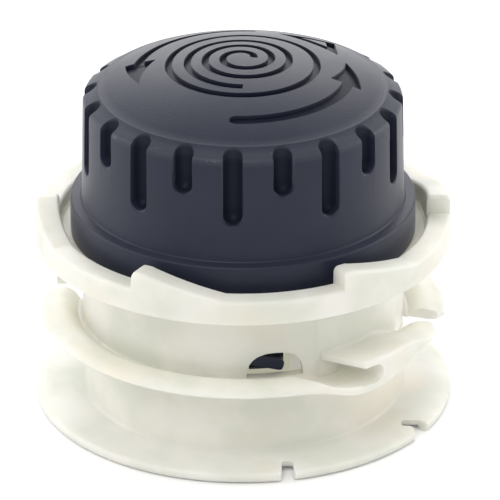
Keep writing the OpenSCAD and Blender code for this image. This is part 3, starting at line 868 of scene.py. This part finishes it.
@dataclass
class Cap:
    """The dark moulding: lip, fluted wall, shoulder, dome with sunk marks, and two snap legs."""

    base_z: float = 37.02
    lip_r: float = 35.25
    lip_z: float = 44.2
    wall_r: float = 32.85
    wall_top_r: float = 32.4
    shoulder_z: float = 66.1
    dome_edge_r: float = 29.0
    dome_edge_z: float = 67.8
    apex_z: float = 74.3
    thick: float = 2.2
    flutes: int = 20
    flute_phi: float = -3.65
    flute_r: float = 2.05
    flute_depth: float = 3.0
    long_z: float = 52.0
    short_z: float = 58.0
    mark_depth: float = 0.9
    leg_phi: float = 8.9
    leg_r: float = 30.1
    leg_t: float = 2.2
    leg_top: float = 55.0
    nose_z: float = 21.5

    @property
    def ball_r(self) -> float:
        """Radius of the dome's sphere, from its edge radius a and rise h: (a^2 + h^2) / 2h."""
        rise = self.apex_z - self.dome_edge_z
        return (self.dome_edge_r**2 + rise**2) / (2 * rise)

    @property
    def flute_centre(self) -> float:
        """Distance of a flute's centre line from the axis."""
        return self.wall_top_r - self.flute_depth + self.flute_r

    def dome_z(self, r: Array, sunk: float = 0.0) -> Array:
        """Height of the dome, or of a sphere sunk below it, on the radius r."""
        return self.apex_z - self.ball_r + np.sqrt((self.ball_r - sunk) ** 2 - np.asarray(r, float) ** 2)

    def body(self) -> Shell:
        """The solid outside of the cap: its section carried round, closed on the axis."""
        f = 1.3
        dome_r = np.linspace(self.dome_edge_r - 0.4, 0, 24)
        rise, run = self.dome_edge_z - self.shoulder_z, self.wall_top_r - self.dome_edge_r
        slope = math.degrees(math.atan2(rise, run))
        section = stack(
            [[0, self.base_z], [20, self.base_z], [self.lip_r - 0.3, self.base_z]],
            [[self.lip_r, self.base_z + 0.3]],
            arc(self.lip_r - 0.5, self.lip_z - 0.5, 0.5, 0, 90, 4),
            [[self.wall_r + 0.55, self.lip_z]],
            arc(self.wall_r + 0.55, self.lip_z + 0.5, 0.5, 270, 185, 3),
            [[self.wall_r - 0.15, 51], [self.wall_r - 0.3, 59]],
            arc(self.wall_top_r - f, self.shoulder_z - f * 0.72, f, 0, 90 - slope, 6),
            arc(self.dome_edge_r - 0.1, self.dome_edge_z - 1.0, 1.1, 90 - slope, 78, 2),
            np.column_stack([dome_r, self.dome_z(dome_r)]),
        )
        phi = np.arange(0, 360, 1.5)
        return Shell.of(around(section[None, :, 0], phi[:, None], section[None, :, 1]), wrap_v=False)

    def hollow(self) -> Shell:
        """The cap's inside, carried round and closed on the axis."""
        inner, top = self.wall_top_r - self.thick, self.shoulder_z - self.thick
        dome_r = np.linspace(self.dome_edge_r - 1.2, 0, 10)
        section = stack(
            [[0, self.base_z - 1], [inner, self.base_z - 1], [inner, top]],
            np.column_stack([dome_r, self.dome_z(dome_r, self.thick)]),
        )
        phi = np.arange(0.75, 360, 3)
        return Shell.of(around(section[None, :, 0], phi[:, None], section[None, :, 1]), wrap_v=False)

    def flute_places(self) -> list[tuple[float, float]]:
        """Angle and lower end of every flute, alternately long and short."""
        pitch = 360 / self.flutes
        ends = (self.long_z, self.short_z)
        return [(self.flute_phi + pitch * k, ends[k % 2]) for k in range(self.flutes)]

    def ribs(self) -> list[Shell]:
        """Half-round ribs behind the flutes, which keep the wall's thickness."""
        shells = []
        for phi, end in self.flute_places():
            ring = arc(0, -self.flute_centre, self.flute_r + 0.8 * self.thick, 0, 342, 19)
            shells.append(upright(ring, (end - self.thick, self.apex_z + 3)).turned(phi))
        return shells

    def flute(self, end: float) -> Shell:
        """One flute's space: a half section carried down one side, round the ball end and up the other.

        The half section starts on the flute's centre plane at its floor, follows a quarter circle and
        the upright side, flares by a quarter circle at the wall's face, and returns outside the wall.
        The path is a line, a half circle of no radius about the ball's centre, and a line.

        Args:
            end: height of the flute's lower end.

        Returns:
            The closed tool, at the front.
        """
        r, c, flare = self.flute_r, self.flute_centre, 0.35
        ball = end + r
        zs = np.array([self.apex_z + 2, 64.5, 62, 0.5 * (62 + ball), ball])
        turn = np.radians(np.linspace(0, 180, 13))
        side = np.concatenate([np.full(len(zs), 1.0), np.cos(turn[1:-1]), np.full(len(zs), -1.0)])
        down = np.concatenate([np.zeros(len(zs)), -np.sin(turn[1:-1]), np.zeros(len(zs))])
        z = np.concatenate([zs, np.full(len(turn) - 2, ball), zs[::-1]])
        face = self.wall_r - (self.wall_r - self.wall_top_r) * np.clip((z - self.lip_z) / 22, 0, 1)
        face = np.where(z > 63, face + 4 * smooth(z, 63, 66), face)
        quarter = arc(0, 0, r, -90, 0, 6)
        mouth = np.radians([20, 45, 70, 90])
        across = np.concatenate([quarter[:, 0], r + flare - flare * np.cos(mouth), [r + flare, 0]])
        across[0] = 0.0
        n = len(quarter)
        depth = np.empty((len(z), len(across)))
        depth[:, :n] = c + quarter[None, :, 1]
        lip = face[:, None] - flare + flare * np.sin(mouth)[None, :]
        depth[:, n : n + 4] = lip
        depth[:, n + 4 :] = face[:, None] + 3
        grid = np.stack(
            [side[:, None] * across[None, :], -depth, z[:, None] + down[:, None] * across[None, :]], axis=-1
        )
        return Shell.of(grid, wrap_u=False, wrap_v=False, folded=True)

    def ribbon(self, centre: Array, inner: Array, outer: Array, closed: bool = False) -> Shell:
        """A sunk mark's space: a box section carried along a line on the dome.

        Its floor lies mark_depth below the dome, and its lid stands clear above it.

        Args:
            centre: points of the line in plan. Only its direction is used where inner and outer differ.
            inner: how far the section reaches to the left of the line, at each point.
            outer: how far it reaches to the right.
            closed: whether the line's last point joins its first.

        Returns:
            The closed tool.
        """
        ahead = np.roll(centre, -1, 0) - np.roll(centre, 1, 0)
        if not closed:
            ahead[0], ahead[-1] = centre[1] - centre[0], centre[-1] - centre[-2]
        ahead /= np.linalg.norm(ahead, axis=1, keepdims=True)
        side = np.column_stack([-ahead[:, 1], ahead[:, 0]])
        left, right = centre + side * inner[:, None], centre - side * outer[:, None]
        floor = [self.dome_z(np.linalg.norm(p, axis=1), self.mark_depth) for p in (left, right)]
        lid = np.full(len(centre), self.apex_z + 2)
        rows = [(left, floor[0]), (right, floor[1]), (right, lid), (left, lid)]
        return Shell.of(np.stack([np.column_stack(row) for row in rows], axis=1), wrap_u=closed)

    def arrow(self) -> Shell:
        """A winding arrow: an arc of even width that widens to barbs and tapers to a point."""
        tail, shaft = [-7.0, -6.6, -5.6, -4.2, -2.0], np.arange(1.0, 74.0, 3.0)
        head_phi = [75.6, 80, 86, 92, 98, 103.5]
        phi = np.array([*tail, *shaft, 75.4, *head_phi])
        a = np.radians(phi)
        r = 22.3 - 0.008 * np.clip(phi, 0, 110)
        line = np.column_stack([r * np.sin(a), -r * np.cos(a)])
        half = np.full(len(phi), 1.1)
        half[:4] = (0.3, 0.62, 0.9, 1.06)
        head = phi > 75.5
        taper = np.clip((103.5 - phi) / 28, 0.02, 1)
        inner = np.where(head, 3.5 * taper, half)
        outer = np.where(head, 2.9 * taper, half)
        return pair(self.ribbon(line, inner, outer))

    def triangle(self) -> Shell:
        """The alignment mark: a groove along the three sides of a triangle that points outwards."""
        corners = np.array([[-7.0, -20.3], [7.0, -20.3], [0.0, -27.4]])
        mid, half = corners.mean(axis=0), 1.0
        sides = np.roll(corners, -1, 0) - corners
        normal = np.column_stack([sides[:, 1], -sides[:, 0]]) / np.linalg.norm(sides, axis=1, keepdims=True)
        normal *= np.sign(np.einsum("ij,ij->i", corners - mid, normal))[:, None]
        mitre = normal + np.roll(normal, 1, 0)
        mitre /= np.einsum("ij,ij->i", mitre, normal)[:, None]
        out, into = corners + 0.55 * half * mitre, corners - 1.45 * half * mitre
        rows = [
            (into, self.dome_z(np.linalg.norm(into, axis=1), self.mark_depth)),
            (out, self.dome_z(np.linalg.norm(out, axis=1), self.mark_depth)),
            (out, np.full(3, self.apex_z + 2)),
            (into, np.full(3, self.apex_z + 2)),
        ]
        return Shell.of(np.stack([np.column_stack(row) for row in rows], axis=1)).turned(138)

    def coil_mark(self) -> Shell:
        """The plain middle mark: a ring, and inside it a spiral whose radius grows evenly with its turn."""
        ring = np.radians(np.arange(0, 360, 4))
        t = np.radians(np.arange(0, 991, 9))
        r = 2.2 + 3.6 * t / (2 * np.pi)
        circle = np.column_stack([15 * np.cos(ring), 15 * np.sin(ring)])
        spiral = np.column_stack([r * np.cos(t), r * np.sin(t)])
        w_ring, w_coil = np.full(len(ring), 0.75), np.full(len(t), 0.75)
        return self.ribbon(circle, w_ring, w_ring, True).merged_with([self.ribbon(spiral, w_coil, w_coil)])

    def legs(self) -> tuple[Shell, Shell]:
        """Two snap legs: a curved strip down from the wall, and a sloping nose that fills a window's sill."""
        across = np.degrees(np.linspace(-3.5, 3.5, 7) / self.leg_r)
        inner, root = self.leg_r - self.leg_t, self.leg_r + 0.6
        strip = [(self.leg_r, 37.4), (self.leg_r, 19.6), (self.leg_r - 0.6, 18.9), (inner, 18.9)]
        strip += [(inner, self.leg_top), (root, self.leg_top), (root, 38.0)]
        leg = Shell.of(np.stack([around(r, across, z) for r, z in strip], axis=1), wrap_u=False)
        outline = round_corners(
            np.array([[-3.3, -1.15], [3.3, -1.15], [3.3, 1.15], [-3.3, 1.15]]), np.array([0.4, 0.8, 0.9, 0.5])
        )
        lean = math.radians(-15)
        x = outline[:, 0] * math.cos(lean) - outline[:, 1] * math.sin(lean)
        z = self.nose_z + outline[:, 0] * math.sin(lean) + outline[:, 1] * math.cos(lean)
        rows = [np.column_stack([x, -np.full(len(x), y), z]) for y in (29.2, 32.2)]
        nose = Shell.of(np.stack(rows, axis=1), wrap_v=False)
        return leg, nose

    def build(self) -> bpy.types.Object:
        """Hollows the body round its ribs, cuts flutes and marks, and adds the snap legs."""
        core = self.hollow().object("cap_core")
        ribs = self.ribs()
        apply_tool(core, ribs[0].merged_with(ribs[1:]), Cut.CARVE)
        piece = self.body().object("cap_moulding")
        carve_object(piece, core)
        places = self.flute_places()
        flutes = [self.flute(end).turned(phi) for phi, end in places]
        apply_tool(piece, flutes[0].merged_with(flutes[1:]), Cut.CARVE)
        for shell in (self.arrow(), self.triangle(), self.coil_mark()):
            apply_tool(piece, shell, Cut.CARVE)
        leg, nose = self.legs()
        for shell in (leg, nose):
            apply_tool(piece, pair(shell.turned(self.leg_phi)), Cut.MERGE)
        finish_surface(piece, 30)
        return piece


def carve_object(piece: bpy.types.Object, core: bpy.types.Object) -> None:
    """Carves one object out of another and removes it."""
    change = piece.modifiers.new("core", "BOOLEAN")
    change.solver = "MANIFOLD"
    change.operation = Cut.CARVE.value
    change.object = core
    bake_modifiers(piece)
    bpy.data.objects.remove(core)


# ------------------------------------------------------------------ studio


@dataclass
class Studio:
    """Camera, lamps, floor and surroundings."""

    camera_at: tuple[float, float, float] = (0.0, -0.88782, 0.46020)
    look_at: tuple[float, float, float] = (0.00146, 0.01294, 0.02496)
    lens: float = 345.95
    sensor: float = 36.0
    ambient: float = 0.66
    floor_color: Color = (0.90, 0.90, 0.90)
    floor_lift: float = 0.10

    def camera(self) -> None:
        """Places the camera and makes it the scene's."""
        data = bpy.data.cameras.new("camera")
        data.lens, data.sensor_width, data.clip_start = self.lens, self.sensor, 0.05
        eye = bpy.data.objects.new("camera", data)
        bpy.context.scene.collection.objects.link(eye)
        eye.location = self.camera_at
        aim = Vector(self.look_at) - Vector(self.camera_at)
        eye.rotation_euler = aim.to_track_quat("-Z", "Y").to_euler()
        bpy.context.scene.camera = eye

    def lamp(self, name: str, at: tuple[float, float, float], size: float, watts: float) -> None:
        """Adds a square lamp that faces the middle of the object.

        Args:
            name: the lamp's name.
            at: its place, in metres.
            size: its side, in metres.
            watts: its power.
        """
        data = bpy.data.lights.new(name, "AREA")
        data.size, data.energy = size, watts
        lamp = bpy.data.objects.new(name, data)
        bpy.context.scene.collection.objects.link(lamp)
        lamp.location = at
        lamp.rotation_euler = (Vector((0, 0, 0.04)) - Vector(at)).to_track_quat("-Z", "Y").to_euler()

    def surroundings(self) -> None:
        """White to the camera and in reflections, and a plainer level as light."""
        world = bpy.data.worlds.new("studio")
        bpy.context.scene.world = world
        world.use_nodes = True
        s = NodeSketch(world.node_tree)
        path = s.add("ShaderNodeLightPath")
        seen = s.math("MAXIMUM", path.outputs["Is Camera Ray"], path.outputs["Is Transmission Ray"])
        light = s.add("ShaderNodeBackground", {"Color": (1, 1, 1, 1), "Strength": self.ambient})
        white = s.add("ShaderNodeBackground", {"Color": (1, 1, 1, 1), "Strength": 1.0})
        mix = s.add("ShaderNodeMixShader", {0: seen, 1: light.outputs[0], 2: white.outputs[0]})
        s.add("ShaderNodeOutputWorld", {"Surface": mix.outputs[0]})

    def floor(self) -> None:
        """A wide pale disc just under the object, a little lifted to white for the camera."""
        ring = np.radians(np.arange(0, 360, 5))
        outline = np.column_stack([3.0 * np.cos(ring), 3.0 * np.sin(ring)]) / MM
        mesh = bpy.data.meshes.new("floor")
        points = np.column_stack([outline * MM, np.full(len(outline), -0.0002)])
        mesh.from_pydata(points.tolist(), [], [list(range(len(points)))])
        piece = bpy.data.objects.new("floor", mesh)
        bpy.context.scene.collection.objects.link(piece)
        made = bpy.data.materials.new("pale_floor")
        made.use_nodes = True
        s = NodeSketch(made.node_tree)
        diffuse = s.add("ShaderNodeBsdfDiffuse", {"Color": (*self.floor_color, 1)})
        path = s.add("ShaderNodeLightPath")
        seen = s.math("MULTIPLY", path.outputs["Is Camera Ray"], self.floor_lift)
        glow = s.add("ShaderNodeEmission", {"Color": (1, 1, 1, 1), "Strength": seen})
        both = s.add("ShaderNodeAddShader", {0: diffuse.outputs[0], 1: glow.outputs[0]})
        s.add("ShaderNodeOutputMaterial", {"Surface": both.outputs[0]})
        mesh.materials.append(made)

    def build(self) -> None:
        """Sets up the whole studio."""
        bpy.context.scene.view_settings.view_transform = "Standard"
        self.camera()
        self.surroundings()
        self.floor()
        self.lamp("key", (-0.3, -0.9, 1.3), 0.9, 8.0)
        self.lamp("left", (-1.1, 0.35, 0.45), 0.9, 6.0)
        self.lamp("right", (1.1, 0.35, 0.45), 0.9, 6.5)
        self.lamp("rear", (0.0, 1.3, 0.8), 1.1, 10.0)


# ------------------------------------------------------------------ assembly


def dress(piece: bpy.types.Object, material: bpy.types.Material, node: str) -> None:
    """Gives a finished piece its material and its place in the frame.

    Args:
        piece: the piece.
        material: its material.
        node: the CAD node that it stands for.
    """
    piece.data.materials.clear()
    piece.data.materials.append(material)
    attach(piece, "root")
    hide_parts(node)
    count = sum(len(p.vertices) - 2 for p in piece.data.polygons)
    LOG.info("%s: %d triangles, %.1f cm3", piece.name, count, signed_volume(piece.data) * 1e6)


def main() -> None:
    """Builds the studio and both mouldings."""
    logging.basicConfig(level=logging.INFO, format="%(name)s: %(message)s")
    Studio().build()
    groups = Groups(moulded_grain(), handling_marks())
    dress(Spool().build(), NylonFinish().material(groups), "spool")
    dress(Cap().build(), CapFinish().material(groups), "cap")


if __name__ == "__main__":
    main()
